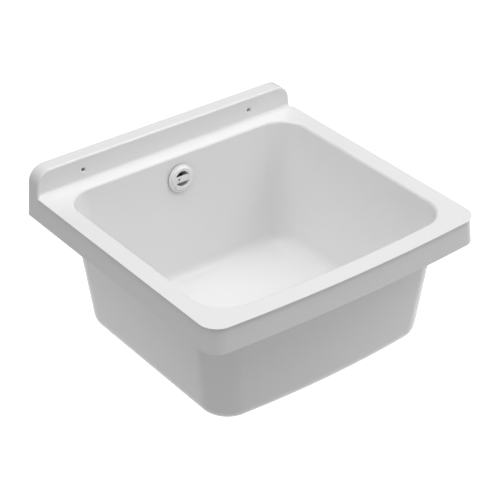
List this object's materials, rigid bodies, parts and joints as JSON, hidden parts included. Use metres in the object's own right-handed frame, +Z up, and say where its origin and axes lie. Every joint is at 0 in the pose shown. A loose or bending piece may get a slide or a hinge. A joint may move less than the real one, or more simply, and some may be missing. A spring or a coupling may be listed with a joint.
{
  "type": "utility laundry sink",
  "caption": "Wall-hung white plastic laundry sink: a deep square bowl with a turned-down rim, a low splash-back, an overflow with a ribbed hose and a basket waste.",
  "frame": {"origin": "on the wall plane, in the middle of the sink's width, level with the top of the rim", "axes": "+X to the right along the wall as seen by someone at the sink, +Y into the wall, +Z up"},
  "size_m": [0.5564, 0.5414, 0.3902],
  "materials": {
    "white_moulding": "smooth white moulding, glossy",
    "white_trim": "smooth white moulding",
    "grey_plumbing": "moulded, slightly matt",
    "grey_hose": "flexible ribbed plastic",
    "black_rubber": "matt",
    "stainless_steel": "pressed, satin",
    "brass": "machined"
  },
  "bodies": {
    "sink": {"basin": "white_moulding", "overflow_rosette": "white_trim", "overflow_front_seal": "black_rubber", "overflow_back_gasket": "black_rubber", "overflow_elbow": "grey_plumbing", "hose_washer_upper": "black_rubber", "hose_nut_upper": "grey_plumbing", "overflow_hose": "grey_hose", "hose_washer_lower": "black_rubber", "hose_nut_lower": "grey_plumbing", "strainer_cup": "stainless_steel", "strainer_top_seal": "black_rubber", "strainer_under_gasket": "black_rubber", "waste_body": "grey_plumbing", "waste_inlet_pipe": "grey_plumbing", "waste_tail": "grey_plumbing", "waste_screw": "stainless_steel", "waste_screw_washer": "black_rubber", "waste_screw_insert": "brass"},
    "basket": {"basket": "stainless_steel", "basket_seal": "black_rubber", "basket_post": "stainless_steel", "basket_knob": "grey_plumbing"}
  },
  "joints": [
    {"name": "basket_lift", "type": "slide", "parent": "sink", "child": "basket", "axis": [0, 0, 1], "range_m": [0, 0.36]}
  ]
}
